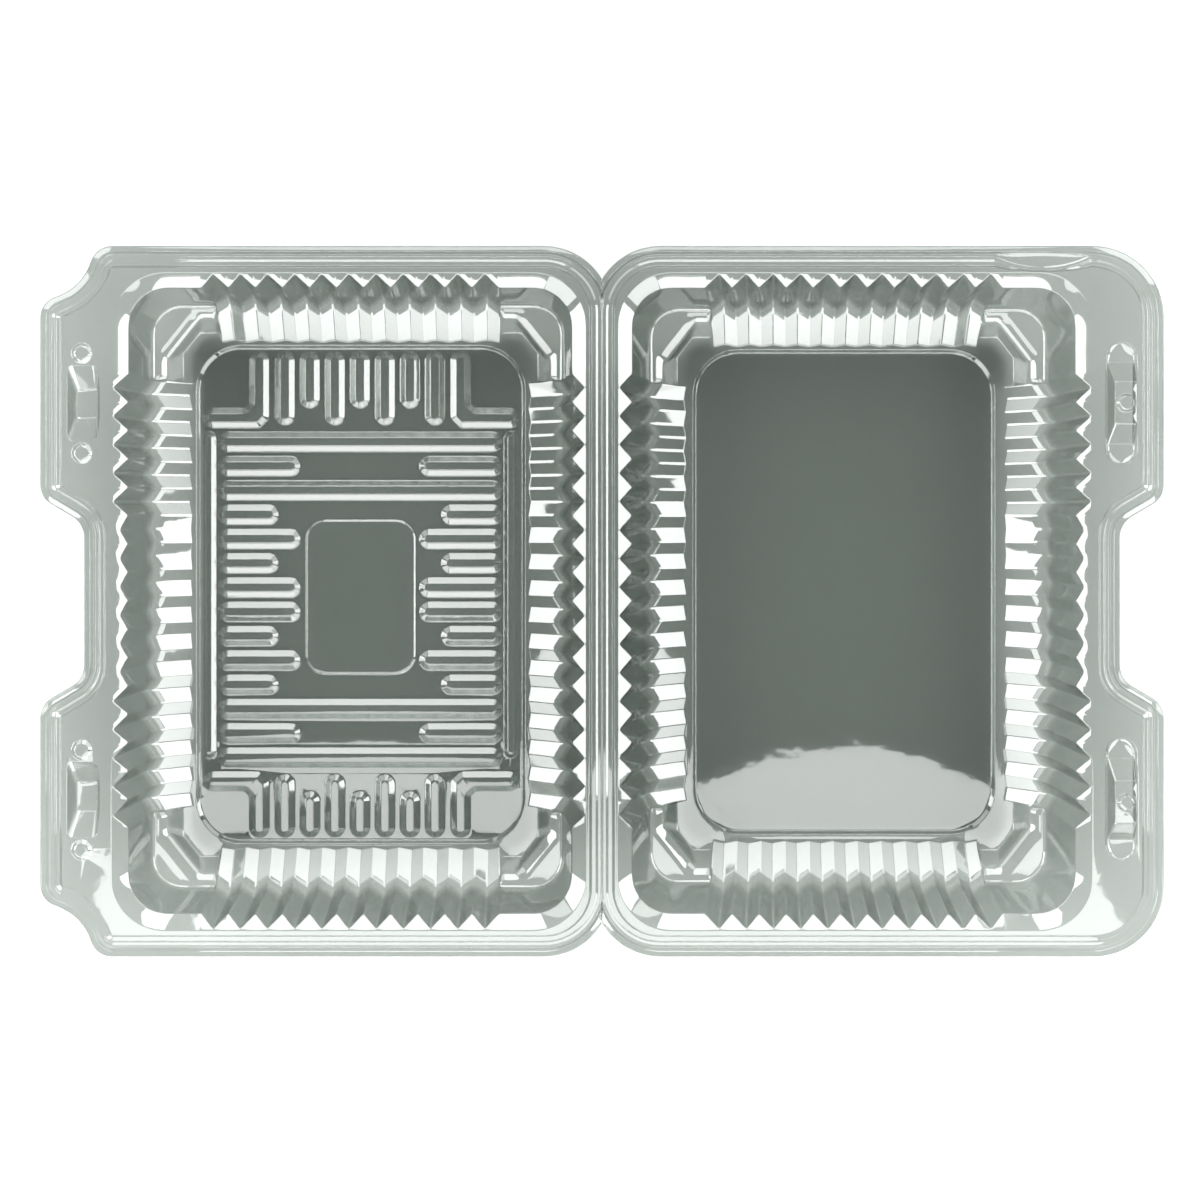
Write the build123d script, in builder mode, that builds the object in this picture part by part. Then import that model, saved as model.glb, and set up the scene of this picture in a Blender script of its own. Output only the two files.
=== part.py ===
from build123d import *
import math
import os

# A hinged clamshell pack, thermoformed from one clear sheet and lying open, with its hollow side up.
# Millimetres, +Z up. The table is Z = 0, and the origin is on it, under the middle of the hinge.
# The hinge crease runs along Y. The lid lies towards +X and the base tray towards -X.
# Each half is drawn towards +X, and the base is then mirrored across the hinge.

# The open pack as a whole
half_reach = 169.0  # hinge crease to front edge
pack_length = 214.0  # along the crease
flange_height = 34.0  # flange face above the table
sheet = 0.45  # wall of the formed sheet

# Flange outline
hinge_corner_radius = 18.0
hinge_overlap = 2.0  # how far each rounded half would reach past the crease
lid_corner_radius = 21.6
bite_radius = 16.0  # quarter circle taken out of each front corner of the base
bite_fillet = 7.0
finger_half_width = 31.0  # front finger recess at the edge
finger_half_floor = 23.2
finger_depth = 13.2
finger_fillet = 7.0

# Stiffening channel around the rim, sunk from the flange face
rim_lip = 0.9  # flat edge outside the channel
rim_slope = 0.8
rim_floor = 1.7
rim_depth = 1.3

# Living hinge
hinge_clearance = 0.1  # between the two halves at the crease
flange_clearance = 0.3  # between the flanges of the closed pack

# Cavity mouth: its outer line, and the sloped ledge inside it
hinge_flange = 5.0  # crease to cavity
front_flange = 22.0
end_flange = 8.5
mouth_radius = 15.8
ledge_width = 4.5
ledge_depth = 3.0

# Wall of the cavity, as depth below the flange and inset from the mouth
knee_depth = 25.0
foot_step = 1.2  # from the flat ring down to the panel that rests on the table
wall_inset_mouth = 4.0
wall_inset_knee = 6.4
wall_inset_foot = 17.0
wall_corner_radius = 12.0

# Flutes pressed outwards into the wall, with their crests' insets
side_flutes = 16
side_field_start = 30.0  # end of the cavity to the first flute
end_flutes = 11
end_field_start = 26.1
crest_inset_mouth = 0.3
crest_inset_knee = 3.6
crest_inset_foot = 16.2
crest_cut = 1.8  # taken off the crests beside the finger recess

# Corner pads, which close each corner below the mouth
pad_depth = 23.8
pad_inset = 9.0  # plain wall beside the flutes
pad_side_reach = 23.7  # where the diagonal leaves the side wall
pad_end_reach = 21.0  # where it meets the end wall
pad_draft = 8.0
pad_diagonal_draft = 5.7
pad_roll = 3.0  # rolled edge of the pad
pad_field_gap = 0.2  # pad to the first flute

# Floor panel
base_panel_inset = 18.5  # cavity line to panel
lid_panel_inset = 19.8
panel_radius = 14.4
panel_slope = 1.5

# Raised ribs of the base floor
rib_rows = "FMFSMSMMSMSFMF"  # full, medium and short rows, seen from the top of the photograph down
rib_pitch = 7.68
rib_width = 7.0
rib_height = 2.6
rib_taper = 33.0  # degrees
rib_side_margin = 7.6  # panel edge to the rows
medium_rib_length = 26.9
short_rib_length = 20.8
edge_rib_width = 5.2
edge_rib_margin = 2.1  # panel edge to the long ribs beside the rows
edge_rib_half_length = 50.0
finger_rib_count = 7  # upright ribs at each end of the panel
finger_rib_pitch = 8.0
finger_rib_end = 2.1  # panel edge to their outer ends
long_finger_gap = 1.7  # rows to the long ones
short_finger_gap = 7.0
elbow_gap = 0.6  # rows to the corner elbows
elbow_offset = 32.2  # panel centre to an elbow's upright arm
elbow_margin = 2.2
centre_pad_width = 35.8
centre_pad_length = 50.0
centre_pad_radius = 6.6
centre_pad_height = 0.5

# Snap fasteners: lugs on the lid press into troughs in the base
snap_reach = 156.0  # crease to the snaps
snap_offset = 59.5  # middle of the pack to each snap
lug_length = 25.4
lug_width = 8.4
lug_height = 5.5
lug_top_length = 12.2
lug_top_width = 6.6
button_radius = 2.8
button_height = 1.4
recess_depth = 1.6  # shallow recess that each lug rises from
snap_clearance = 0.35
trough_floor_gap = 0.5
boss_radius = 2.8
boss_height = 1.1
boss_gap = 1.1  # trough end to boss

# Shallow dish pressed into the long edge of the lid, beside its front corner
dish_middle = 132.5
dish_half_length = 14.5
dish_reach = 9.4
dish_slope = 1.2

# Places that follow from the sizes
flange_top = flange_height
half_length = pack_length / 2
mouth_near = hinge_flange
mouth_far = half_reach - front_flange
mouth_half = half_length - end_flange
mouth_middle = (mouth_near + mouth_far) / 2
panel_level = sheet  # inner face of the panel
foot_level = panel_level + foot_step
flute_reach = wall_inset_mouth - crest_inset_mouth
side_pitch = 2 * (mouth_half - side_field_start) / side_flutes
end_pitch = (mouth_far - mouth_near - 2 * end_field_start) / end_flutes
lug_share = recess_depth / lug_height  # of the lug's height that lies in its own recess
lug_face_length = lug_length + lug_share * (lug_top_length - lug_length)
lug_face_width = lug_width + lug_share * (lug_top_width - lug_width)
trough_length = lug_face_length + 2 * snap_clearance
trough_width = lug_face_width + 2 * snap_clearance
trough_depth = lug_height - recess_depth + button_height + trough_floor_gap
boss_offset = trough_length / 2 + boss_gap + boss_radius
snap_places = [(snap_reach, snap_offset), (snap_reach, -snap_offset)]


def outline(inset, is_lid):
    """Flange outline of a half that is still whole past the crease, drawn in from its edge by inset."""
    with BuildSketch(mode=Mode.PRIVATE) as plan:
        with Locations(((half_reach - hinge_overlap) / 2, 0)):
            Rectangle(half_reach + hinge_overlap, pack_length)
        near = plan.vertices().group_by(Axis.X)[0]
        fillet(near, hinge_corner_radius)
        far = plan.vertices().group_by(Axis.X)[-1]
        if is_lid:
            fillet(far, lid_corner_radius)
        else:
            with Locations((half_reach, half_length), (half_reach, -half_length)):
                Circle(bite_radius, mode=Mode.SUBTRACT)
            bitten = [
                v
                for v in plan.vertices()
                if abs(v.X - half_reach) + abs(abs(v.Y) - half_length + bite_radius) < 0.01
                or abs(v.X - half_reach + bite_radius) + abs(abs(v.Y) - half_length) < 0.01
            ]
            fillet(bitten, bite_fillet)
        with BuildLine():
            Polyline(
                (half_reach + 1, finger_half_width),
                (half_reach, finger_half_width),
                (half_reach - finger_depth, finger_half_floor),
                (half_reach - finger_depth, -finger_half_floor),
                (half_reach, -finger_half_width),
                (half_reach + 1, -finger_half_width),
                close=True,
            )
        make_face(mode=Mode.SUBTRACT)
        corners = [v for v in plan.vertices() if abs(v.Y) < finger_half_width + 0.01]
        fillet(corners, finger_fillet)
        if inset:
            offset(amount=-inset, kind=Kind.ARC)
    return plan.sketch


def flute_comb(wall, level, depth, crest, foot_crest, cut_within, grow):
    """Row of V flutes along one wall, which slants inwards so that its crests go from crest to foot_crest."""
    place, along, pitch, count = wall
    plane = Plane((*place, level), x_dir=along, z_dir=(0, 0, 1))
    half_pitch = pitch / 2
    half_field = half_pitch * count
    lift = grow * math.hypot(half_pitch, flute_reach) / half_pitch
    points = []
    for index in range(count):
        middle = half_pitch * (2 * index + 1) - half_field
        if abs(middle) < cut_within:
            cut_level = crest + crest_cut - grow
            cut = (cut_level - crest + lift) * half_pitch / flute_reach
            points += [(middle - cut, cut_level), (middle + cut, cut_level)]
        else:
            points.append((middle, crest - lift))
        points.append((middle + half_pitch, crest + flute_reach - lift))
    points[-1] = (half_field + grow, crest + flute_reach)
    points.insert(0, (-half_field - grow, crest + flute_reach))
    slant = plane.y_dir * (foot_crest - crest) - plane.z_dir * depth
    with BuildPart(mode=Mode.PRIVATE) as comb:
        with BuildSketch(plane):
            with BuildLine():
                back = wall_inset_foot
                Polyline(*points, (half_field + grow, back), (-half_field - grow, back), close=True)
            make_face()
        extrude(amount=slant.length, dir=slant.normalized())
    return comb.part


def sunk_block(level, depth, draft, inset, radius, spread):
    """Block that goes down from a rounded rectangle set in from the mouth, and narrows by draft all round."""
    inner = inset - spread
    with BuildPart(mode=Mode.PRIVATE) as upturned:
        with BuildSketch(Plane.XY.offset(-level)) as plan:
            with Locations((mouth_middle, 0)):
                Rectangle(mouth_far - mouth_near - 2 * inner, 2 * (mouth_half - inner))
            if radius:
                fillet(plan.vertices(), radius + spread)
        extrude(amount=depth, taper=math.degrees(math.atan(draft / depth)))
    return upturned.part.mirror(Plane.XY)


def pad_block(edge_middle, inwards, draft, grow):
    """Block under one straight edge of a corner pad, with that edge rolled over."""
    height = flange_top - pad_depth - foot_level
    size = 2 * side_field_start
    with BuildPart(mode=Mode.PRIVATE) as block:
        with BuildSketch(Plane((*edge_middle, foot_level - grow), x_dir=inwards)):
            with Locations((draft - grow, 0)):
                Rectangle(size, size, align=(Align.MAX, Align.CENTER))
        extrude(amount=height, taper=math.degrees(math.atan(draft / height)))
        top_edges = block.faces().sort_by(Axis.Z)[-1].edges()
        fillet(top_edges.sort_by(Axis((0, 0, 0), inwards))[-1], pad_roll - grow)
    return block.part


def corner_pad(grow):
    """Block that closes one corner of the cavity under its pad, drawn from the mouth's corner inwards."""
    side_stop = side_field_start - pad_field_gap
    end_stop = end_field_start - pad_field_gap
    rise = pad_side_reach - pad_inset
    run = pad_end_reach - pad_inset
    diagonal_middle = ((pad_inset + pad_end_reach) / 2, (pad_inset + pad_side_reach) / 2)
    blocks = [
        pad_block((pad_inset, side_stop), (1, 0, 0), pad_draft, grow),
        pad_block((end_stop, pad_inset), (0, 1, 0), pad_draft, grow),
        pad_block(diagonal_middle, (rise, run, 0), pad_diagonal_draft, grow),
    ]
    with BuildPart(mode=Mode.PRIVATE) as pad:
        add(blocks)
        Box(end_stop, side_stop, 2 * flange_top, align=Align.MIN, mode=Mode.INTERSECT)
    return pad.part


def cavity(grow):
    """Hollow of either half, down to its foot. Grown by the sheet it is the outside of the wall."""
    upper = knee_depth + grow / 2
    knee = flange_top - upper
    foot = foot_level - grow
    walls = [
        ((mouth_middle, -mouth_half), (1, 0, 0), end_pitch, end_flutes),
        ((mouth_far, 0), (0, 1, 0), side_pitch, side_flutes),
        ((mouth_middle, mouth_half), (-1, 0, 0), end_pitch, end_flutes),
        ((mouth_near, 0), (0, -1, 0), side_pitch, side_flutes),
    ]
    cut_within = [0, finger_half_floor, 0, 0]
    combs = []
    for wall, cut in zip(walls, cut_within):
        combs.append(flute_comb(wall, flange_top, upper, crest_inset_mouth, crest_inset_knee, cut, grow))
        combs.append(flute_comb(wall, knee, knee - foot, crest_inset_knee, crest_inset_foot, cut, grow))
    pad = corner_pad(grow)
    far_pad = pad.mirror(Plane.YZ)
    corners = [
        Pos(mouth_near, -mouth_half, 0) * pad,
        Pos(mouth_far, -mouth_half, 0) * far_pad,
        Pos(mouth_near, mouth_half, 0) * pad.mirror(Plane.XZ),
        Pos(mouth_far, mouth_half, 0) * far_pad.mirror(Plane.XZ),
    ]
    upper_draft = wall_inset_knee - wall_inset_mouth
    lower_draft = wall_inset_foot - wall_inset_knee
    upper_wall = sunk_block(flange_top, upper, upper_draft, wall_inset_mouth, wall_corner_radius, grow)
    lower_wall = sunk_block(knee, knee - foot, lower_draft, wall_inset_knee, 0, grow)
    ledge = sunk_block(flange_top, ledge_depth, ledge_width, 0, mouth_radius, grow)
    with BuildPart(mode=Mode.PRIVATE) as hollow:
        add([upper_wall, lower_wall])
        add(combs)
        add(corners, mode=Mode.SUBTRACT)
        add(ledge)
    return hollow.part


def panel_well(grow, inset):
    """Step from the flat ring down to the panel that the half rests on."""
    overlap = sheet / 2
    slope = panel_slope / foot_step
    depth = foot_step + overlap
    return sunk_block(foot_level - grow + overlap, depth, slope * depth, inset, panel_radius, grow + slope * overlap)


def rim_channel(grow, is_lid):
    """Stiffening channel that follows the flange outline."""
    depth = rim_depth + grow
    drafted = math.degrees(math.atan(rim_slope / rim_depth))
    far_foot = rim_lip + rim_slope + rim_floor + grow
    with BuildPart(mode=Mode.PRIVATE) as upturned:
        with BuildSketch(Plane.XY.offset(-flange_top)):
            add(outline(rim_lip - grow, is_lid))
        extrude(amount=depth, taper=drafted)
    with BuildPart(mode=Mode.PRIVATE) as channel:
        add(upturned.part.mirror(Plane.XY))
        with BuildSketch(Plane.XY.offset(flange_top - depth)):
            add(outline(far_foot, is_lid))
        extrude(amount=depth, taper=drafted, mode=Mode.SUBTRACT)
    return channel.part


def rib_plan(shrink):
    """Plan of the raised ribs of the base floor, each drawn in from its edge by shrink."""
    half_width = (mouth_far - mouth_near) / 2 - base_panel_inset
    half_panel = mouth_half - base_panel_inset
    row_half = half_width - rib_side_margin
    first_row = rib_pitch * (len(rib_rows) - 1) / 2
    field_end = first_row + rib_width / 2
    lengths = {"M": medium_rib_length, "S": short_rib_length}

    def bar(x, y, x_size, y_size):
        with Locations((mouth_middle + x, y)):
            Rectangle(x_size - 2 * shrink, y_size - 2 * shrink)

    with BuildSketch(mode=Mode.PRIVATE) as plan:
        for index, kind in enumerate(rib_rows):
            y = first_row - index * rib_pitch
            if kind == "F":
                bar(0, y, 2 * row_half, rib_width)
                continue
            for side in (-1, 1):
                bar(side * (row_half - lengths[kind] / 2), y, lengths[kind], rib_width)
        for index in range(finger_rib_count):
            x = finger_rib_pitch * (index - (finger_rib_count - 1) / 2)
            gap = short_finger_gap if index % 2 else long_finger_gap
            length = half_panel - finger_rib_end - field_end - gap
            for end in (-1, 1):
                bar(x, end * (half_panel - finger_rib_end - length / 2), edge_rib_width, length)
        arm_reach = half_width - elbow_margin
        arm_start = elbow_offset - rib_width / 2
        elbow_foot = field_end + elbow_gap
        upright = half_panel - finger_rib_end - elbow_foot
        for side in (-1, 1):
            for end in (-1, 1):
                bar(side * elbow_offset, end * (elbow_foot + upright / 2), rib_width, upright)
                middle = side * (arm_start + arm_reach) / 2
                bar(middle, end * (elbow_foot + rib_width / 2), arm_reach - arm_start, rib_width)
        edge_reach = half_width - edge_rib_margin - edge_rib_width / 2
        for side in (-1, 1):
            bar(side * edge_reach, 0, edge_rib_width, 2 * edge_rib_half_length)
    return plan.sketch


def raised_floor(grow):
    """Ribs and centre pad that stand up from the base floor."""
    floor = Plane.XY.offset(panel_level - grow)
    with BuildPart(mode=Mode.PRIVATE) as raised:
        with BuildSketch(floor):
            add(rib_plan(grow * (1 - math.tan(math.radians(rib_taper)))))
        extrude(amount=rib_height, taper=rib_taper)
        with BuildSketch(floor):
            with Locations((mouth_middle, 0)):
                RectangleRounded(centre_pad_width - grow, centre_pad_length - grow, centre_pad_radius)
        extrude(amount=centre_pad_height)
    return raised.part


def snap_troughs(grow):
    """Troughs of the base that take the lugs, tapered as the lugs are."""
    beyond = trough_depth - (lug_height - recess_depth)
    length_lost = (lug_length - lug_top_length) / lug_height * trough_depth
    width_lost = (lug_width - lug_top_width) / lug_height * trough_depth
    with BuildPart(mode=Mode.PRIVATE) as troughs:
        for place in snap_places:
            with BuildSketch(Plane.XY.offset(flange_top)) as mouth:
                with Locations(place):
                    Rectangle(trough_width + 2 * grow, trough_length + 2 * grow)
            with BuildSketch(Plane.XY.offset(flange_top - trough_depth - grow)) as floor:
                with Locations(place):
                    Rectangle(trough_width - width_lost + 2 * grow, trough_length - length_lost + 2 * grow)
            loft([mouth.sketch, floor.sketch], ruled=True)
    return troughs.part


def snap_recesses(grow):
    """Shallow recesses of the lid that the lugs rise from, long enough for the bosses of the base."""
    length = 2 * (boss_offset + boss_radius + snap_clearance + grow)
    width = lug_width + 2 * (snap_clearance + grow)
    with BuildPart(mode=Mode.PRIVATE) as recesses:
        with BuildSketch(Plane.XY.offset(flange_top)):
            with Locations(*snap_places):
                SlotOverall(length, width, rotation=90)
        extrude(amount=-recess_depth - grow)
    return recesses.part


def snap_lugs(shrink):
    """Lugs of the lid with their buttons; shrunk by the sheet they are the hollows under them."""
    foot = flange_top - recess_depth - shrink
    head = foot + lug_height
    with BuildPart(mode=Mode.PRIVATE) as lugs:
        for place in snap_places:
            with BuildSketch(Plane.XY.offset(foot)) as lower:
                with Locations(place):
                    Rectangle(lug_width - 2 * shrink, lug_length - 2 * shrink)
            with BuildSketch(Plane.XY.offset(head)) as upper:
                with Locations(place):
                    Rectangle(lug_top_width - 2 * shrink, lug_top_length - 2 * shrink)
            loft([lower.sketch, upper.sketch], ruled=True)
            with Locations((*place, head + button_height / 2)):
                Cylinder(button_radius - shrink, button_height)
    return lugs.part


def snap_bosses(shrink):
    """Round bosses of the base at both ends of each trough."""
    middle = flange_top - shrink + boss_height / 2
    places = [(x, y + end * boss_offset, middle) for x, y in snap_places for end in (-1, 1)]
    with BuildPart(mode=Mode.PRIVATE) as bosses:
        with Locations(*places):
            Cylinder(boss_radius - shrink, boss_height)
    return bosses.part


def edge_dish(grow):
    """Lens-shaped dish that opens into the rim channel of the lid."""
    edge = half_length - rim_lip
    depth = rim_depth + grow
    drafted = math.degrees(math.atan(dish_slope / rim_depth))
    with BuildPart(mode=Mode.PRIVATE) as dish:
        with BuildSketch(Plane.XY.offset(flange_top)):
            with BuildLine():
                Line((dish_middle - dish_half_length, edge), (dish_middle + dish_half_length, edge))
                ThreePointArc(
                    (dish_middle + dish_half_length, edge),
                    (dish_middle, half_length - dish_reach),
                    (dish_middle - dish_half_length, edge),
                )
            make_face()
            if grow:
                offset(amount=grow)
        extrude(amount=-depth, taper=drafted)
    return dish.part


def base_hollow(grow, common):
    """All that is sunk below the flange face of the base, less the ribs that stand on its floor."""
    with BuildPart(mode=Mode.PRIVATE) as sunk:
        add([common, panel_well(grow, base_panel_inset), rim_channel(grow, False), snap_troughs(grow)])
        add(raised_floor(grow), mode=Mode.SUBTRACT)
    return sunk.part


def lid_hollow(grow, common):
    """All that is sunk below the flange face of the lid."""
    with BuildPart(mode=Mode.PRIVATE) as sunk:
        add([common, panel_well(grow, lid_panel_inset), rim_channel(grow, True)])
        add([snap_recesses(grow), edge_dish(grow)])
    return sunk.part


def half_shell(is_lid, outside, inside, raised):
    """Sheet between the outside and the inside of the hollow, with what is raised from the flange."""
    with BuildPart(mode=Mode.PRIVATE) as shell:
        with BuildSketch(Plane.XY.offset(flange_top - sheet)):
            add(outline(0, is_lid))
        extrude(amount=sheet)
        add(outside)
        add(inside, mode=Mode.SUBTRACT)
        add(raised(0))
        add(raised(sheet), mode=Mode.SUBTRACT)
        split(bisect_by=Plane.YZ.offset(hinge_clearance / 2), keep=Keep.TOP)
    return shell.part


cavity_inside = cavity(0)
cavity_outside = cavity(sheet)

# Base tray: ribbed floor, bitten front corners, and a trough for each snap
with BuildPart() as base_tray:
    tray_outside = base_hollow(sheet, cavity_outside)
    tray_inside = base_hollow(0, cavity_inside)
    add(mirror(half_shell(False, tray_outside, tray_inside, snap_bosses), about=Plane.YZ, mode=Mode.PRIVATE))
base_tray.part.label = "base_tray"

# Lid: plain panel, round front corners, and a lug for each snap
with BuildPart() as lid:
    add(half_shell(True, lid_hollow(sheet, cavity_outside), lid_hollow(0, cavity_inside), snap_lugs))
lid.part.label = "lid"

os.makedirs("parts", exist_ok=True)
export_step(base_tray.part, "parts/base_tray.step")
export_step(lid.part, "parts/lid.step")
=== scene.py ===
import math

import bmesh
import bpy
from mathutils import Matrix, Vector
from mathutils.geometry import delaunay_2d_cdt


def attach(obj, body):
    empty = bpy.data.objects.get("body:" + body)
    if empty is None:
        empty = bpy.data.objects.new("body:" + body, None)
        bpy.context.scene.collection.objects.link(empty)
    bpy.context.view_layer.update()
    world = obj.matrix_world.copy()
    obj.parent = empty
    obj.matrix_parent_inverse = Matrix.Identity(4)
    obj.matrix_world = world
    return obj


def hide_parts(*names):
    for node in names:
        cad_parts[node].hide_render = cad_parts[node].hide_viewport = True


# A clear clamshell pack lying open on a pale studio floor, seen from straight above.
# Scene objects are in metres, +Z up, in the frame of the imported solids. The formed sheet is
# drawn in millimetres, each half towards +X, and the base is then mirrored across the hinge.

mm = 0.001

# Camera, which looks straight down on a picture plane level with the flanges
picture_width = 0.36  # across the frame, at the flanges
camera_height = 0.5  # above the flanges
camera_x = -0.0006
camera_y = 0.042
frame_middle_y = 0.00045
sensor_width = 36.0

# Floor and light
floor_half_size = 3.0
floor_drop = 0.0002  # the floor lies just under the pack
fibre_scale = 400.0
paper_dark = (0.90, 0.905, 0.90, 1.0)
paper_light = (0.93, 0.935, 0.93, 1.0)
surround_strength = 0.12
side_boxes = [  # place, size and radiance of each, all of which face the pack
    ((-1.6, 0.05, 0.85), (0.95, 1.15), 7.0),
    ((1.6, 0.05, 0.85), (0.95, 1.15), 7.0),
    ((0.0, 1.6, 1.15), (1.2, 1.1), 5.0),
    ((0.0, -1.7, 0.65), (1.3, 0.95), 6.0),
    ((-1.25, -1.25, 0.75), (1.3, 1.0), 4.8),
    ((1.25, -1.25, 0.75), (1.3, 1.0), 4.8),
    ((-1.25, 1.25, 0.85), (1.3, 1.0), 2.4),
    ((1.25, 1.25, 0.85), (1.3, 1.0), 2.8),
]
overhead_places = [(-0.225, -0.62, 1.0), (0.225, -0.62, 1.0)]  # oval, and facing straight down
overhead_size = (0.62, 0.8)
overhead_radiance = 3.5
light_bounces = 12
sheet_layers = 48  # faces that light may pass through
brightness = 0.0  # stops that the picture is lifted by

# Clear sheet
sheet_thickness = 0.35
# The see-through tints are partly the plastic's own grey-green and partly painted shade. They are far
# darker than clear plastic, standing in for dark surroundings seen through the sheet, and darker still
# at grazing angles, which paints shade on steep faces.
sheet_tint_and_painted_shade = (0.600, 0.622, 0.607, 1.0)  # what each face lets through, seen head on
edge_tint_and_painted_shade = (0.320, 0.347, 0.330, 1.0)  # and seen at a grazing angle
tint_span = (0.25, 0.95)  # where the one starts to turn into the other, and ends
gloss_head_on = 0.09  # share of light mirrored by each face of the sheet, seen head on
gloss_falloff = 5.0
sheet_roughness = 0.03
wave_scale = 60.0  # faint waves that forming leaves in the sheet
wave_detail = 3.0
wave_height = 0.00004

# Flange outline
half_reach = 169.0
half_length = 107.0
flange_top = 34.0
hinge_gap = 0.05  # crease to the edge of each half
hinge_overlap = 3.0  # how far a half is drawn past the crease before it is cut there
hinge_corner_radius = 20.5
lid_corner_radius = 21.6
bite_radius = 16.0
bite_fillet = 7.0
finger_half_width = 31.0
finger_half_floor = 23.2
finger_depth = 13.2
finger_fillet = 7.0

# Stiffening channel round the rim, as distance from the edge and drop below the flange
rim_profile = [
    (0.0, 1.0),
    (0.35, 0.12),
    (0.5, 0.0),
    (0.75, 0.06),
    (1.9, 0.66),
    (2.05, 0.8),
    (2.55, 2.0),
    (2.7, 2.1),
    (3.2, 1.8),
    (3.45, 1.7),
    (4.1, 1.68),
    (4.25, 1.6),
    (4.75, 1.28),
    (4.95, 1.2),
    (5.95, 1.1),
    (6.15, 1.0),
    (6.65, 0.1),
    (6.85, 0.0),
]
rim_far_foot = 2.7  # where the channel's far side starts

# Dish in the long edge of the lid, where the channel widens
dish_middle = 132.5
dish_half_length = 14.5
dish_bulge = 3.3
dish_limit = 7.7  # distance from the edge where the widening has died out
dish_steps = 16

# Cavity mouth and its sloped ledge
mouth_near = 5.0
mouth_far = 147.0
mouth_half = 98.5
mouth_radius = 15.8
mouth_roll = 0.45
mouth_sink = 0.04
ledge_width = 4.5
ledge_depth = 3.0
ledge_roll = 0.35

# Wall of the cavity, as depth below the flange and inset from the mouth
knee_depth = 25.0
foot_depth = 32.35
wall_inset_mouth = 4.0
wall_inset_knee = 6.4
wall_inset_foot = 17.0
knee_roll = 4.2
knee_steps = 9
foot_roll = 0.4
roll_steps = 2  # along each small roll of the sheet

# Flutes, with the insets of their crests
side_flutes = 16
side_field_start = 30.0
end_flutes = 11
end_field_start = 26.1
crest_inset_mouth = 0.3
crest_inset_knee = 3.6
crest_inset_foot = 16.2
crest_cut = 1.8  # taken off the crests beside the finger recess
flute_reach = wall_inset_mouth - crest_inset_mouth
flute_bends = [  # half pitches from its middle, and share of its height
    (-1, 0.04),
    (-0.88, 0.12),
    (-0.12, 0.88),
    (0, 0.96),
    (0.12, 0.88),
    (0.88, 0.12),
]

# Corner pads
pad_depth = 23.8
pad_inset = 10.2
pad_side_reach = 23.7
pad_end_reach = 21.0
pad_draft = 3.6
pad_diagonal_draft = 0.8
pad_edge_steps = [  # rolled edge of the pad's short sides, as inset and depth
    (-2.9, 0.0),
    (-2.3, 0.12),
    (-1.7, 0.4),
    (-0.9, 0.9),
    (-0.1, 1.45),
    (0.5, 2.2),
    (1.1, 3.6),
]
pad_bar_steps = [  # rolled edge of its diagonal side
    (-3.9, 0.0),
    (-3.2, 0.15),
    (-2.3, 0.6),
    (-1.3, 1.2),
    (-0.4, 1.8),
    (0.15, 2.6),
    (0.4, 4.0),
]
pad_seam_roll = 0.9
field_gap = 0.2  # between a corner and the flutes beside it
corner_steps = (4, 16, 4)  # along a pad's side, its diagonal and its other side
bar_blend_steps = 2  # from the form of a side to that of the diagonal

# Floor panel
panel_top = flange_top - foot_depth
base_panel = ((24.6, -80.0), (129.5, 79.0))  # lower and upper corner
lid_panel = ((29.2, -77.0), (125.5, 77.6))
panel_radius = 14.4
panel_profile = [(-0.3, 0.0), (0.0, 0.08), (0.75, 1.06), (1.15, 1.2)]  # inset and drop

# How far the wall's foot is drawn in at the hinge, the far side, the top and the bottom
base_foot_draw = (1.5, -0.5, 1.5, 0.5)
lid_foot_draw = (5.0, 1.6, 2.9, 2.6)
foot_inset = (wall_inset_foot + crest_inset_foot) / 2
foot_near = mouth_near + foot_inset
foot_far = mouth_far - foot_inset
foot_half = mouth_half - foot_inset

# Ribs of the base floor
rib_rows = "FMFSMSMMSMSFMF"  # full, medium and short, from the top of the picture down
rib_pitch = 7.77
rib_width = 6.9
rib_profile = [  # inwards and rise
    (0.0, 0.0),
    (0.2, 0.04),
    (0.5, 0.2),
    (1.9, 1.14),
    (2.2, 1.28),
    (2.5, 1.32),
]
rib_field_middle = (77.4, -2.2)
rib_row_half = 45.7
first_rib_offset = rib_pitch * (len(rib_rows) - 1) / 2
rib_field_half = first_rib_offset + rib_width / 2
medium_rib_length = 27.0
short_rib_length = 20.0
edge_rib_width = 4.9
edge_rib_offset = 48.3
edge_rib_rise = 1.6  # their middle above the field's
edge_rib_half_length = 52.5

# Finger ribs at both ends of the floor, and the elbows beside them
finger_rib_count = 7
finger_rib_pitch = 8.0
finger_rib_end = 1.45  # short of the panel's edge
long_finger_gap = 1.6
short_finger_gap = 7.0
elbow_gap = 0.7
elbow_offset = 32.2
elbow_margin = 1.7
elbow_corner_cut = 3.2
elbow_cut_radius = 2.7
elbow_inner_cut = 1.5
elbow_inner_radius = 0.6
elbow_end_radius = 3.3

# Bare pad in the middle of the base floor
centre_pad_middle = (77.2, -1.4)
centre_pad_size = (35.6, 50.0)
centre_pad_radius = 6.6
centre_pad_profile = [(0.0, 0.0), (0.3, 0.08), (0.7, 0.42), (1.1, 0.5)]

# Snap fasteners, which the drawing in of the wall leaves as they are
snap_places = [(156.0, 59.5), (156.0, -59.5)]
snap_field_start = 149.5
dome_profile = [(-0.25, 0.0), (0.1, 0.12), (0.85, 0.9), (1.5, 1.0)]  # share of its taper and its height
boss_radius = 3.1
boss_top_radius = 2.1
boss_height = 1.1
boss_offset = 15.0
button_radius = 2.85
button_top_radius = 2.1
button_height = 1.4
recess_size = (9.1, 36.3)
recess_depth = 1.6
recess_profile = [(0.3, 0.0), (0.0, -0.15), (-0.25, 0.2 - recess_depth)]  # growth and rise

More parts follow.
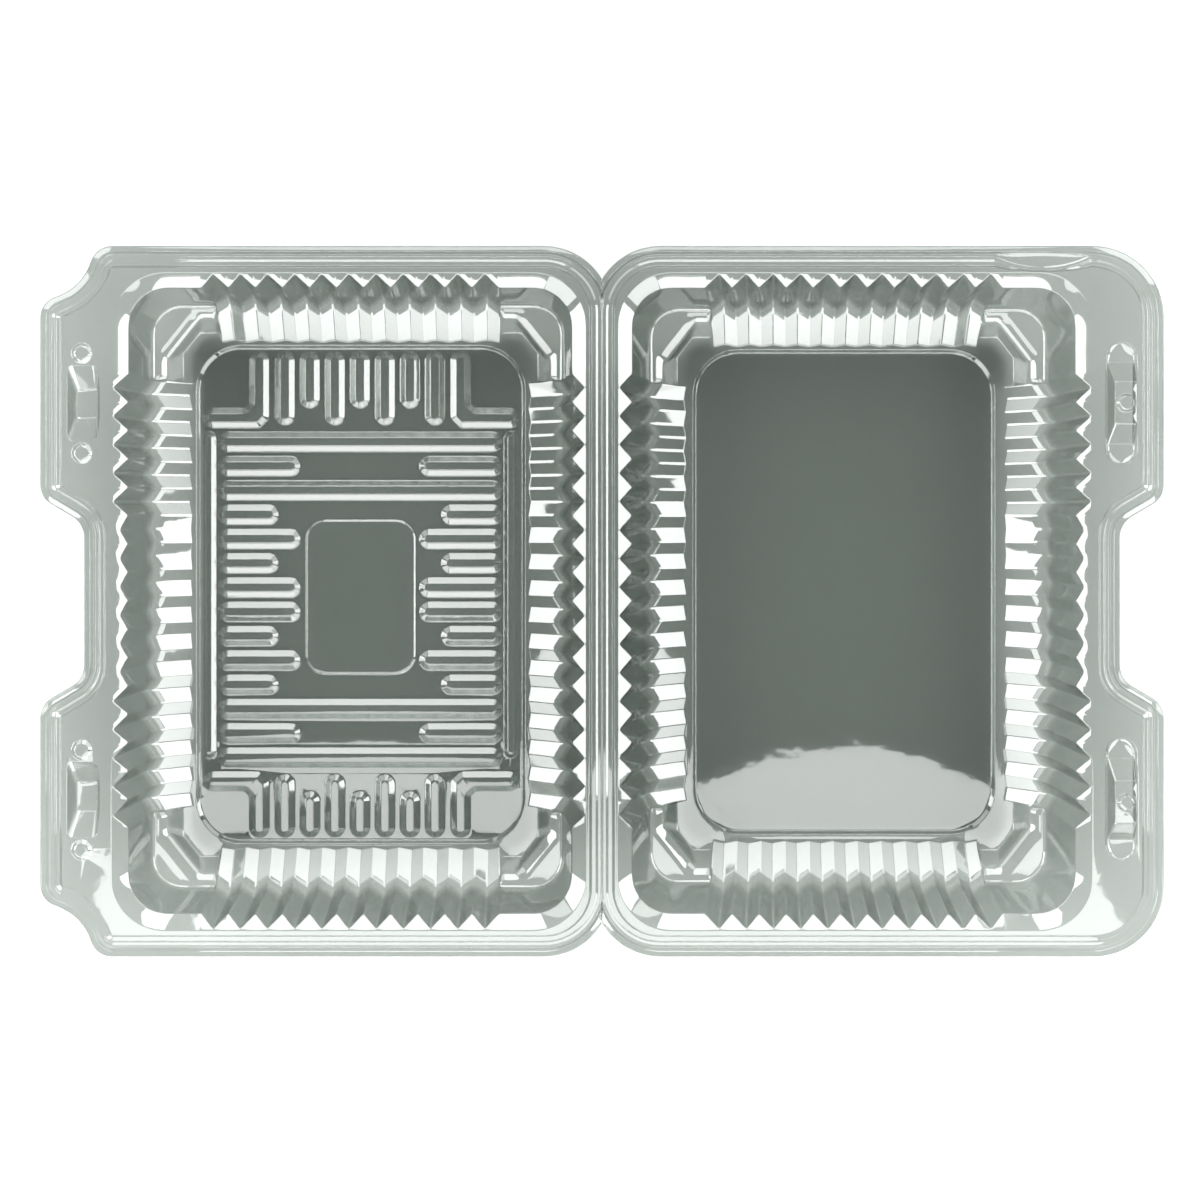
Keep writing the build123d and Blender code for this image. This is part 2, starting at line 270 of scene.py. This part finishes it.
# Boxes of the snaps: share of the taper, growth, corner radius and rise of each stage
trough_size = (8.6, 22.3)
trough_floor_size = (6.7, 8.4)
trough_depth = 5.8
trough_stages = [
    (0.0, 0.3, 1.7, 0.0),
    (0.0, 0.05, 1.5, -0.12),
    (0.93, 0.0, 1.2, 0.4 - trough_depth),
    (1.0, -0.3, 1.0, -trough_depth),
]
lug_size = (8.4, 25.4)
lug_top_size = (6.6, 12.2)
lug_height = 5.5
lug_stages = [
    (0.0, -0.2, 0.7, 0.2),
    (0.08, 0.0, 0.6, 0.4),
    (0.93, 0.0, 0.6, 0.94 * lug_height),
    (1.0, -0.1, 0.6, lug_height),
]

# Fineness of the mesh
arc_steps = 8
cdt_tolerance = 1e-6
tiny = 1e-6
hair = 0.005  # least straight run left between two rounded corners


def arc(centre, radius, start, end, steps):
    """Points of an arc with their inward normals. It turns left where end is more than start."""
    turn = 1 if end > start else -1
    stretch = []
    for index in range(steps + 1):
        angle = start + (end - start) * index / steps
        spoke = Vector((math.cos(angle), math.sin(angle)))
        stretch.append((Vector(centre) + spoke * radius, -turn * spoke))
    return stretch


def corner(before, at, after, radius, steps=arc_steps):
    """Arc that rounds one corner of a path, with inward normals."""
    before, at, after = Vector(before), Vector(at), Vector(after)
    back = (before - at).normalized()
    ahead = (after - at).normalized()
    half_angle = back.angle(ahead) / 2
    centre = at + (back + ahead).normalized() * radius / math.sin(half_angle)
    touch = at + back * radius / math.tan(half_angle) - centre
    start = math.atan2(touch.y, touch.x)
    turned = math.pi - 2 * half_angle
    left = back.x * ahead.y - back.y * ahead.x < 0
    return arc(centre, radius, start, start + turned if left else start - turned, steps)


def rounded_polygon(corners, radii, steps=arc_steps):
    """Closed path through rounded corners, listed anticlockwise, with inward normals."""
    path = []
    for index, (at, radius) in enumerate(zip(corners, radii)):
        path += corner(corners[index - 1], at, corners[(index + 1) % len(corners)], radius, steps)
    return path


def rounded_box(middle, x_size, y_size, radius, steps=arc_steps):
    """Closed rounded rectangle, with inward normals."""
    x, y = middle
    a, b = x_size / 2, y_size / 2
    corners = [(x - a, y - b), (x + a, y - b), (x + a, y + b), (x - a, y + b)]
    return rounded_polygon(corners, [radius] * 4, steps)


def round_ended(middle, x_size, y_size):
    """Closed rectangle whose short sides are half circles, with inward normals."""
    return rounded_box(middle, x_size, y_size, min(x_size, y_size) / 2 - hair)


def moved_in(path, distance):
    """Points of a path moved along its inward normals."""
    return [point + normal * distance for point, normal in path]


def rounded_corner(before, at, after, reach, steps=roll_steps):
    """Points that round one corner of a profile, from reach before it to reach past it."""
    start = at + (before - at).normalized() * reach
    end = at + (after - at).normalized() * reach
    shares = [index / steps for index in range(steps + 1)]
    return [start.lerp(at, share).lerp(at.lerp(end, share), share) for share in shares]


class Sheet:
    """Formed sheet built up from closed contours, each listed anticlockwise as seen from above."""

    def __init__(self):
        self.points = []
        self.faces = []

    def contour(self, places, height):
        """Adds a level contour and returns the indices of its points."""
        return self.contour_3d([(x, y, height) for x, y in places])

    def contour_3d(self, places):
        """Adds a contour and returns the indices of its points."""
        first = len(self.points)
        self.points += [tuple(place) for place in places]
        return list(range(first, len(self.points)))

    def skirt(self, outer, inner):
        """Joins two contours of as many points with a band of quads."""
        for index in range(len(outer)):
            ahead = (index + 1) % len(outer)
            self.faces.append((outer[index], outer[ahead], inner[ahead], inner[index]))

    def skirts(self, contours):
        """Joins each contour to the next."""
        for outer, inner in zip(contours, contours[1:]):
            self.skirt(outer, inner)

    def fill(self, outer, holes=()):
        """Fills the region between a contour and the holes in it with triangles."""
        loops = [outer, *holes]
        indices = [index for loop in loops for index in loop]
        flat = [Vector(self.points[index][:2]) for index in indices]
        edges = []
        outlines = []
        first = 0
        for loop in loops:
            count = len(loop)
            edges += [(first + step, first + (step + 1) % count) for step in range(count)]
            outlines.append(flat[first : first + count])
            first += count
        cut = delaunay_2d_cdt(flat, edges, [], 1, cdt_tolerance)
        points, triangles, sources = cut[0], cut[2], cut[3]
        for triangle in triangles:
            middle = sum((points[index] for index in triangle), Vector((0, 0))) / 3
            if sum(encloses(loop, middle) for loop in outlines) % 2 == 0:
                continue
            self.faces.append(tuple(indices[sources[index][0]] for index in triangle))


def encloses(loop, point):
    """True where a closed loop goes round a point."""
    inside = False
    for a, b in zip(loop, loop[1:] + loop[:1]):
        if (a.y > point.y) == (b.y > point.y):
            continue
        if point.x < a.x + (b.x - a.x) * (point.y - a.y) / (b.y - a.y):
            inside = not inside
    return inside


def flange_outline(is_lid):
    """Edge of a half's flange, still whole past the hinge crease, with inward normals."""
    floor = (half_reach - finger_depth, finger_half_floor)
    edge = (half_reach, finger_half_width)
    far = (half_reach, half_length)
    near = (-hinge_overlap, half_length)
    upper = corner((floor[0], 0), floor, edge, finger_fillet)
    upper += corner(floor, edge, far, finger_fillet)
    if is_lid:
        upper += corner(edge, far, near, lid_corner_radius, 2 * arc_steps)
    else:
        reach = bite_radius + bite_fillet
        run = math.sqrt(reach**2 - bite_fillet**2)
        turn = math.atan2(run, bite_fillet)
        quarter = math.pi / 2
        right = (half_reach - bite_fillet, half_length - run)
        left = (half_reach - run, half_length - bite_fillet)
        upper += arc(right, bite_fillet, 0, turn, arc_steps)
        upper += arc(far, bite_radius, turn + 2 * quarter, 3 * quarter - turn, arc_steps)
        upper += arc(left, bite_fillet, quarter - turn, quarter, arc_steps)
    upper += [(Vector((x, half_length)), Vector((0, -1))) for x in dish_stations(is_lid)]
    upper += corner(far, near, (-hinge_overlap, 0), hinge_corner_radius, 2 * arc_steps)
    lower = []
    for point, normal in reversed(upper):
        lower.append((Vector((point.x, -point.y)), Vector((normal.x, -normal.y))))
    return upper + lower


def dish_stations(is_lid):
    """Places along the long edge where the lid's channel widens into its dish."""
    if not is_lid:
        return []
    shares = [1 - 2 * index / dish_steps for index in range(dish_steps + 1)]
    return [dish_middle + dish_half_length * share for share in shares]


def dish_width(point, is_lid):
    """How much wider the channel is at one point of the edge."""
    off = abs(point.x - dish_middle) / dish_half_length
    if not is_lid or off > 1 or point.y < 0:
        return 0.0
    return dish_bulge * (1 - off**2)


def rim(sheet, is_lid):
    """Stiffening channel round the flange; returns the contour where the flat flange starts."""
    outline = flange_outline(is_lid)
    contours = []
    for distance, drop in rim_profile:
        share = min(1.0, (dish_limit - distance) / dish_bulge) if distance >= rim_far_foot else 0.0
        places = []
        for point, normal in outline:
            shift = distance + share * dish_width(point, is_lid)
            places.append(point + normal * shift)
        contours.append(sheet.contour(places, flange_top - drop))
    sheet.skirts(contours)
    return contours[-1]


def wall_inset(share, depth):
    """Inset of the wall at one depth, where share goes from 0 on a ridge to 1 on a crest."""
    down = depth / knee_depth
    ridge = wall_inset_mouth + (wall_inset_knee - wall_inset_mouth) * down
    crest = crest_inset_mouth + (crest_inset_knee - crest_inset_mouth) * down
    return ridge + share * (crest - ridge)


def ledge_point(share):
    """Where the sloped ledge meets the wall, as inset and depth."""
    slope = ledge_depth / ledge_width
    top = wall_inset(share, 0)
    lean = wall_inset(share, 1) - top
    inset = top / (1 - lean * slope)
    return Vector((inset, inset * slope))


def wall_profile(share):
    """Profile of the fluted wall from the flange down to the flat ring, as insets and depths."""
    mouth = Vector((0.0, 0.0))
    ledge = ledge_point(share)
    knee = Vector((wall_inset(share, knee_depth), knee_depth))
    foot = Vector((wall_inset_foot + share * (crest_inset_foot - wall_inset_foot), foot_depth))
    ring = Vector((foot.x + 1, foot_depth))
    rows = [Vector((-mouth_roll, 0.0)), mouth + Vector((0.0, mouth_sink))]
    rows += rounded_corner(mouth, ledge, knee, ledge_roll)
    rows += [ledge.lerp(knee, 0.5)]
    rows += rounded_corner(ledge, knee, foot, knee_roll, knee_steps)
    rows += rounded_corner(knee, foot, ring, foot_roll)
    return rows


def flute_columns(start, along, inward, pitch, count, cut_within):
    """Columns of points down a fluted wall, one for each place where a flute bends."""
    columns = []
    for index in range(count):
        middle = pitch * (index + 0.5)
        centre = start + along * middle
        cut = 1 - crest_cut / flute_reach if abs(centre.y) < cut_within else 1.0
        for off, share in flute_bends:
            place = start + along * (middle + off * pitch / 2)
            profile = wall_profile(min(share, cut))
            columns.append([(*(place + inward * row.x), flange_top - row.y) for row in profile])
    place = start + along * pitch * count
    columns.append([(*(place + inward * row.x), flange_top - row.y) for row in wall_profile(0)])
    return columns


def pad_row(spread, diagonal_spread):
    """Line round a corner pad, spread out from its edge, from the side wall to the end wall."""
    run = pad_end_reach - pad_inset
    rise = pad_side_reach - pad_inset
    slant = math.hypot(run, rise)
    inner = pad_inset + spread
    stops = [
        Vector((inner, side_field_start - field_gap)),
        Vector((inner, pad_side_reach + (diagonal_spread * slant - spread * rise) / run)),
        Vector((pad_end_reach + (diagonal_spread * slant - spread * run) / rise, inner)),
        Vector((end_field_start - field_gap, inner)),
    ]
    places = []
    for a, b, steps in zip(stops, stops[1:], corner_steps):
        places += [a.lerp(b, index / steps) for index in range(steps)]
    return places + [stops[-1]]


def distances_along(line):
    """How far along a line each of its points lies."""
    distances = [0.0]
    for a, b in zip(line, line[1:]):
        distances.append(distances[-1] + (b - a).length)
    return distances


def corner_row(inset, shares):
    """Line round a corner of the cavity, concentric with the mouth, at shares of its length."""
    start = Vector((inset, side_field_start - field_gap))
    end = Vector((end_field_start - field_gap, inset))
    centre = (mouth_radius, mouth_radius)
    bend = arc(centre, mouth_radius - inset, math.pi, 1.5 * math.pi, 2 * arc_steps)
    line = [start] + [point for point, normal in bend] + [end]
    distances = distances_along(line)
    places = []
    for share in shares:
        target = share * distances[-1]
        index = max(i for i in range(len(line) - 1) if distances[i] <= target + tiny)
        step = (target - distances[index]) / (distances[index + 1] - distances[index])
        places.append(line[index].lerp(line[index + 1], step))
    return places


def corner_wall_profile():
    """Profile of the smooth wall above a corner pad, as insets and depths."""
    mouth = Vector((0.0, 0.0))
    ledge = ledge_point(0)
    seam = Vector((wall_inset(0, pad_depth), pad_depth))
    rows = [Vector((-mouth_roll, 0.0)), mouth + Vector((0.0, mouth_sink))]
    rows += rounded_corner(mouth, ledge, seam, ledge_roll)
    rows += [ledge.lerp(seam, 0.5)]
    rows += rounded_corner(ledge, seam, seam + Vector((1, 0)), pad_seam_roll)
    return rows


def pad_profile(edge_steps, draft):
    """Profile of one side of a corner pad, from its rolled edge down, as spreads and depths."""
    top = Vector((0.0, pad_depth))
    foot = Vector((draft, foot_depth))
    rows = [top + Vector(step) for step in edge_steps]
    rows += rounded_corner(top, foot, foot + Vector((1, 0)), foot_roll)
    return rows


def corner_columns():
    """Columns of points round one corner of the cavity, drawn from the mouth's corner inwards."""
    distances = distances_along(pad_row(0, 0))
    shares = [distance / distances[-1] for distance in distances]
    rows = []
    for inset, depth in corner_wall_profile():
        rows.append([(*point, flange_top - depth) for point in corner_row(inset, shares)])
    first = corner_steps[0]
    last = first + corner_steps[1]
    sides = pad_profile(pad_edge_steps, pad_draft)
    bars = pad_profile(pad_bar_steps, pad_diagonal_draft)
    for side, bar in zip(sides, bars, strict=True):
        row = []
        for index, point in enumerate(pad_row(side.x, bar.x)):
            weight = min(max(min(index - first, last - index) / bar_blend_steps, 0.0), 1.0)
            row.append((*point, flange_top - (side.y + (bar.y - side.y) * weight)))
        rows.append(row)
    return list(zip(*rows, strict=True))


def turned(columns, x, y, x_way, y_way):
    """Columns of a corner moved to a place and mirrored, in anticlockwise order."""
    moved = [[(x + x_way * a, y + y_way * b, z) for a, b, z in column] for column in columns]
    return moved if x_way * y_way > 0 else moved[::-1]


def cavity_wall(sheet):
    """Wall of the cavity all round; returns its highest and lowest contours."""
    side_pitch = 2 * (mouth_half - side_field_start) / side_flutes
    end_pitch = (mouth_far - mouth_near - 2 * end_field_start) / end_flutes
    side_start = mouth_half - side_field_start
    end_start = mouth_near + end_field_start
    end_stop = mouth_far - end_field_start
    right, left = Vector((1, 0)), Vector((-1, 0))
    up, down = Vector((0, 1)), Vector((0, -1))
    corners = corner_columns()
    columns = turned(corners, mouth_near, -mouth_half, 1, 1)
    start = Vector((end_start, -mouth_half))
    columns += flute_columns(start, right, up, end_pitch, end_flutes, 0)
    columns += turned(corners, mouth_far, -mouth_half, -1, 1)
    start = Vector((mouth_far, -side_start))
    columns += flute_columns(start, up, left, side_pitch, side_flutes, finger_half_floor)
    columns += turned(corners, mouth_far, mouth_half, -1, -1)
    start = Vector((end_stop, mouth_half))
    columns += flute_columns(start, left, down, end_pitch, end_flutes, 0)
    columns += turned(corners, mouth_near, mouth_half, 1, -1)
    start = Vector((mouth_near, side_start))
    columns += flute_columns(start, down, right, side_pitch, side_flutes, 0)
    contours = [sheet.contour_3d(row) for row in zip(*columns, strict=True)]
    sheet.skirts(contours)
    return contours[0], contours[-1]


def draw_foot(sheet, draws):
    """Draws the wall in towards its foot, by its own amount on each of the four sides."""
    near, far, top, bottom = draws
    for index, (x, y, z) in enumerate(sheet.points):
        if x > snap_field_start:
            continue
        share = min(max((flange_top - z - ledge_depth) / (foot_depth - ledge_depth), 0.0), 1.0)
        along = (x - foot_near) / (foot_far - foot_near)
        up = (y + foot_half) / (2 * foot_half)
        x += share * (near - (near + far) * along)
        y += share * (bottom - (bottom + top) * up)
        sheet.points[index] = (x, y, z)


def press(sheet, middle, stages, steps=arc_steps):
    """Presses a rounded box up or down in stages, each a size, corner radius and height."""
    contours = []
    for size, radius, height in stages:
        path = rounded_box(middle, *size, radius, steps)
        contours.append(sheet.contour([point for point, normal in path], height))
    sheet.skirts(contours)
    return contours[0], contours[-1]


def grown(size, growth):
    """A size made larger on every side."""
    return (size[0] + 2 * growth, size[1] + 2 * growth)


def blended(size, other, share):
    """A size part of the way to another."""
    return tuple(a + (b - a) * share for a, b in zip(size, other))


def dome_stages(radius, top_radius, ground, height):
    """Stages of a round boss with a soft foot and top."""
    stages = []
    for share, rise in dome_profile:
        reach = radius + (top_radius - radius) * share
        stages.append(((2 * reach, 2 * reach), reach - hair, ground + rise * height))
    return stages


def box_stages(size, end_size, ground, table):
    """Stages of a box that tapers to its end size."""
    stages = []
    for share, growth, radius, rise in table:
        stages.append((grown(blended(size, end_size, share), growth), radius, ground + rise))
    return stages


def trough_and_bosses(sheet, middle):
    """Trough of the base that takes a lug, and a boss at each end; returns their outer contours."""
    stages = box_stages(trough_size, trough_floor_size, flange_top, trough_stages)
    edge, floor = press(sheet, middle, stages)
    sheet.fill(floor)
    outer = [edge]
    for end in (-1, 1):
        place = (middle[0], middle[1] + end * boss_offset)
        stages = dome_stages(boss_radius, boss_top_radius, flange_top, boss_height)
        foot, top = press(sheet, place, stages)
        sheet.fill(top)
        outer.append(foot)
    return outer


def recess_and_lug(sheet, middle):
    """Recess of the lid, the lug that stands in it and its button; returns the outer contour."""
    stages = []
    for growth, rise in recess_profile:
        size = grown(recess_size, growth)
        stages.append((size, size[0] / 2 - hair, flange_top + rise))
    outer, inner = press(sheet, middle, stages)
    ground = flange_top - recess_depth
    foot, head = press(sheet, middle, box_stages(lug_size, lug_top_size, ground, lug_stages))
    sheet.fill(inner, [foot])
    stages = dome_stages(button_radius, button_top_radius, ground + lug_height, button_height)
    low, high = press(sheet, middle, stages)
    sheet.fill(head, [low])
    sheet.fill(high)
    return [outer]


def panel(sheet, foot, corners):
    """Step down from the flat ring to the floor panel; returns the panel's edge."""
    low, high = Vector(corners[0]), Vector(corners[1])
    stages = []
    for inset, drop in panel_profile:
        size = (high.x - low.x - 2 * inset, high.y - low.y - 2 * inset)
        stages.append((size, panel_radius - inset, panel_top - drop))
    edge, floor = press(sheet, (low + high) / 2, stages, 2 * arc_steps)
    sheet.fill(foot, [edge])
    return floor


def row_ribs():
    """Outlines of the ribs that lie across the base floor."""
    lengths = {"M": medium_rib_length, "S": short_rib_length}
    x, y = rib_field_middle
    y += first_rib_offset
    outlines = []
    for index, kind in enumerate(rib_rows):
        row = y - index * rib_pitch
        if kind == "F":
            outlines.append(round_ended((x, row), 2 * rib_row_half, rib_width))
            continue
        for side in (-1, 1):
            middle = x + side * (rib_row_half - lengths[kind] / 2)
            outlines.append(round_ended((middle, row), lengths[kind], rib_width))
    return outlines


def finger_ribs(end, stop):
    """Outlines of the long and short finger ribs at one end of the base floor."""
    x, y = rib_field_middle
    outlines = []
    for index in range(finger_rib_count):
        gap = short_finger_gap if index % 2 else long_finger_gap
        start = y + end * (rib_field_half + gap)
        place = (x + finger_rib_pitch * (index - (finger_rib_count - 1) / 2), (start + stop) / 2)
        outlines.append(round_ended(place, rib_width, abs(stop - start)))
    return outlines


def elbow_rib(end, stop, side, wall):
    """Outline of the rib beside the fingers that bends out towards the wall."""
    x, y = rib_field_middle
    near = x + side * (elbow_offset - rib_width / 2)
    far = near + side * rib_width
    foot = y + end * (rib_field_half + elbow_gap)
    head = foot + end * rib_width
    reach = wall - side * elbow_margin
    bends = [
        ((near, foot + end * elbow_corner_cut), elbow_cut_radius),
        ((near + side * elbow_corner_cut, foot), elbow_cut_radius),
        ((reach, foot), elbow_end_radius),
        ((reach, head), elbow_end_radius),
        ((far + side * elbow_inner_cut, head), elbow_inner_radius),
        ((far, head + end * elbow_inner_cut), elbow_inner_radius),
        ((far, stop), elbow_end_radius),
        ((near, stop), elbow_end_radius),
    ]
    if side * end < 0:
        bends.reverse()
    corners, radii = zip(*bends)
    return rounded_polygon(corners, radii)


def edge_ribs():
    """Outlines of the narrow ribs along both sides of the rib field."""
    x, y = rib_field_middle
    outlines = []
    for side in (-1, 1):
        place = (x + side * edge_rib_offset, y + edge_rib_rise)
        outlines.append(round_ended(place, edge_rib_width, 2 * edge_rib_half_length))
    return outlines


def rib_paths():
    """Outlines of the ribs of the base floor, each with its width."""
    low, high = base_panel
    outlines = row_ribs()
    for end, limit in ((-1, low[1]), (1, high[1])):
        stop = limit - end * finger_rib_end
        outlines += finger_ribs(end, stop)
        outlines += [elbow_rib(end, stop, -1, low[0]), elbow_rib(end, stop, 1, high[0])]
    paths = [(outline, rib_width) for outline in outlines]
    paths += [(outline, edge_rib_width) for outline in edge_ribs()]
    return paths


def raise_up(sheet, path, profile, ground):
    """Raises a closed path above the floor along a profile; returns its outer contour."""
    contours = [sheet.contour(moved_in(path, inwards), ground + rise) for inwards, rise in profile]
    sheet.skirts(contours)
    sheet.fill(contours[-1])
    return contours[0]


def cut_at_crease(mesh, way):
    """Takes off what a half has past the hinge crease, where way is the side it lies on."""
    work = bmesh.new()
    work.from_mesh(mesh)
    everything = work.verts[:] + work.edges[:] + work.faces[:]
    crease = Vector((way * hinge_gap * mm, 0, 0))
    normal = (way, 0, 0)
    bmesh.ops.bisect_plane(work, geom=everything, plane_co=crease, plane_no=normal, clear_inner=True)
    work.to_mesh(mesh)
    work.free()


def half_mesh(name, is_lid):
    """Mesh of one half of the pack, cut off at the hinge crease."""
    sheet = Sheet()
    flange_start = rim(sheet, is_lid)
    mouth, foot = cavity_wall(sheet)
    holes = [mouth]
    for place in snap_places:
        holes += recess_and_lug(sheet, place) if is_lid else trough_and_bosses(sheet, place)
    sheet.fill(flange_start, holes)
    draw_foot(sheet, lid_foot_draw if is_lid else base_foot_draw)
    floor = panel(sheet, foot, lid_panel if is_lid else base_panel)
    raised = []
    if not is_lid:
        ground = panel_top - panel_profile[-1][1]
        for path, width in rib_paths():
            profile = [(inwards * width / rib_width, rise) for inwards, rise in rib_profile]
            raised.append(raise_up(sheet, path, profile, ground))
        centre_pad = rounded_box(centre_pad_middle, *centre_pad_size, centre_pad_radius)
        raised.append(raise_up(sheet, centre_pad, centre_pad_profile, ground))
    sheet.fill(floor, raised)
    way = 1 if is_lid else -1
    points = [(way * x * mm, y * mm, z * mm) for x, y, z in sheet.points]
    faces = sheet.faces if is_lid else [face[::-1] for face in sheet.faces]
    mesh = bpy.data.meshes.new(name)
    mesh.from_pydata(points, [], faces)
    cut_at_crease(mesh, way)
    mesh.polygons.foreach_set("use_smooth", [True] * len(mesh.polygons))
    return mesh


def build_half(name, body, node, is_lid, look):
    """One half of the pack as a thin sheet that stands for its solid."""
    mesh = half_mesh(name, is_lid)
    mesh.materials.append(look)
    shell = bpy.data.objects.new(name, mesh)
    bpy.context.collection.objects.link(shell)
    thickness = shell.modifiers.new("thickness", "SOLIDIFY")
    thickness.thickness = sheet_thickness * mm
    thickness.offset = -1.0
    shading = shell.modifiers.new("even_shading", "WEIGHTED_NORMAL")
    shading.keep_sharp = True
    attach(shell, body)
    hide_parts(node)


def node_tree(owner):
    """Empties and returns the node tree of a material or world."""
    owner.use_nodes = True
    owner.node_tree.nodes.clear()
    return owner.node_tree.nodes, owner.node_tree.links


def clear_sheet_material():
    """Grey-green clear plastic: tinted see-through, with gloss that grows towards grazing angles. The
    tint is partly painted shade: far darker than clear plastic, and darker still on steep faces.
    """
    material = bpy.data.materials.new("clear_sheet_look")
    nodes, links = node_tree(material)
    output = nodes.new("ShaderNodeOutputMaterial")
    see_through = nodes.new("ShaderNodeBsdfTransparent")
    # Painted shade: this ramp turns the see-through tint from the head-on tint to the darker grazing
    # tint on steep faces.
    depth = nodes.new("ShaderNodeValToRGB")
    for stop, place, tint in zip(depth.color_ramp.elements, tint_span, (sheet_tint_and_painted_shade, edge_tint_and_painted_shade)):
        stop.position = place
        stop.color = tint
    gloss = nodes.new("ShaderNodeBsdfAnisotropic")
    gloss.inputs["Color"].default_value = (1.0, 1.0, 1.0, 1.0)
    gloss.inputs["Roughness"].default_value = sheet_roughness
    place = nodes.new("ShaderNodeTexCoord")
    waviness = nodes.new("ShaderNodeTexNoise")
    waviness.inputs["Scale"].default_value = wave_scale
    waviness.inputs["Detail"].default_value = wave_detail
    bump = nodes.new("ShaderNodeBump")
    bump.inputs["Strength"].default_value = 1.0
    bump.inputs["Distance"].default_value = wave_height
    links.new(place.outputs["Object"], waviness.inputs["Vector"])
    links.new(waviness.outputs["Fac"], bump.inputs["Height"])
    links.new(bump.outputs["Normal"], gloss.inputs["Normal"])
    facing = nodes.new("ShaderNodeLayerWeight")
    facing.inputs["Blend"].default_value = 0.5
    steepness = nodes.new("ShaderNodeMath")
    steepness.operation = "POWER"
    steepness.inputs[1].default_value = gloss_falloff
    share = nodes.new("ShaderNodeMapRange")
    share.inputs["To Min"].default_value = gloss_head_on
    share.inputs["To Max"].default_value = 1.0
    mix = nodes.new("ShaderNodeMixShader")
    links.new(facing.outputs["Facing"], depth.inputs["Fac"])
    links.new(depth.outputs["Color"], see_through.inputs["Color"])
    links.new(facing.outputs["Facing"], steepness.inputs[0])
    links.new(steepness.outputs["Value"], share.inputs["Value"])
    links.new(share.outputs["Result"], mix.inputs["Fac"])
    links.new(see_through.outputs["BSDF"], mix.inputs[1])
    links.new(gloss.outputs["BSDF"], mix.inputs[2])
    links.new(mix.outputs["Shader"], output.inputs["Surface"])
    return material


def floor_material():
    """Pale matt paper with a trace of fibre."""
    material = bpy.data.materials.new("pale_floor")
    nodes, links = node_tree(material)
    output = nodes.new("ShaderNodeOutputMaterial")
    paper = nodes.new("ShaderNodeBsdfDiffuse")
    fibre = nodes.new("ShaderNodeTexNoise")
    fibre.inputs["Scale"].default_value = fibre_scale
    ramp = nodes.new("ShaderNodeValToRGB")
    ramp.color_ramp.elements[0].color = paper_dark
    ramp.color_ramp.elements[1].color = paper_light
    links.new(fibre.outputs["Fac"], ramp.inputs["Fac"])
    links.new(ramp.outputs["Color"], paper.inputs["Color"])
    links.new(paper.outputs["BSDF"], output.inputs["Surface"])
    return material


def build_floor():
    """Flat floor under the pack."""
    size = floor_half_size
    corners = [(-size, -size), (size, -size), (size, size), (-size, size)]
    mesh = bpy.data.meshes.new("floor")
    mesh.from_pydata([(x, y, -floor_drop) for x, y in corners], [], [(0, 1, 2, 3)])
    mesh.materials.append(floor_material())
    floor = bpy.data.objects.new("floor", mesh)
    bpy.context.collection.objects.link(floor)


def add_box(name, shape, place, size, radiance):
    """Area light that faces straight down and looks equally bright at any size."""
    data = bpy.data.lights.new(name, "AREA")
    data.shape = shape
    data.size, data.size_y = size
    area = size[0] * size[1] * (1.0 if shape == "RECTANGLE" else math.pi / 4)
    data.energy = radiance * math.pi * area
    box = bpy.data.objects.new(name, data)
    box.location = place
    bpy.context.collection.objects.link(box)
    return box


def build_light():
    """Dim surround, softboxes on all sides of the pack and two overhead behind its lower end."""
    world = bpy.data.worlds.new("studio")
    bpy.context.scene.world = world
    nodes, links = node_tree(world)
    output = nodes.new("ShaderNodeOutputWorld")
    background = nodes.new("ShaderNodeBackground")
    background.inputs["Strength"].default_value = surround_strength
    links.new(background.outputs["Background"], output.inputs["Surface"])
    for index, (place, size, radiance) in enumerate(side_boxes):
        box = add_box(f"side_box_{index}", "RECTANGLE", place, size, radiance)
        box.rotation_euler = (-Vector(place)).to_track_quat("-Z", "Y").to_euler()
    for index, place in enumerate(overhead_places):
        add_box(f"overhead_box_{index}", "ELLIPSE", place, overhead_size, overhead_radiance)


def build_camera():
    """Camera over the pack, shifted so that the whole pack sits in the middle of the frame."""
    data = bpy.data.cameras.new("camera")
    data.sensor_width = sensor_width
    data.lens = sensor_width * camera_height / picture_width
    data.shift_y = (frame_middle_y - camera_y) / picture_width
    camera = bpy.data.objects.new("camera", data)
    camera.location = (camera_x, camera_y, flange_top * mm + camera_height)
    bpy.context.collection.objects.link(camera)
    bpy.context.scene.camera = camera


def allow_bounces():
    """Lets light pass through as many layers of sheet as lie over each other."""
    cycles = bpy.context.scene.cycles
    cycles.max_bounces = light_bounces
    cycles.glossy_bounces = light_bounces
    cycles.transparent_max_bounces = sheet_layers


def set_view():
    """Plain colours, so that the pale floor stays near white and the sheet keeps its contrast."""
    view = bpy.context.scene.view_settings
    view.view_transform = "Standard"
    view.look = "None"
    view.exposure = brightness


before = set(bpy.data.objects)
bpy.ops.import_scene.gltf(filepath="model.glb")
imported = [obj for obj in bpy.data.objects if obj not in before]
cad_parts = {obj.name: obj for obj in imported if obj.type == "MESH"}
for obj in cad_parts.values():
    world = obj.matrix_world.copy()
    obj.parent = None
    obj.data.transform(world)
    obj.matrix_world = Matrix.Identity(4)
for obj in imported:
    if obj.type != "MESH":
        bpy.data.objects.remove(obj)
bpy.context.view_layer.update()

sheet_look = clear_sheet_material()
build_half("base_shell", "base", "base_tray", False, sheet_look)
build_half("lid_shell", "lid", "lid", True, sheet_look)

build_floor()
build_light()
build_camera()
allow_bounces()
set_view()
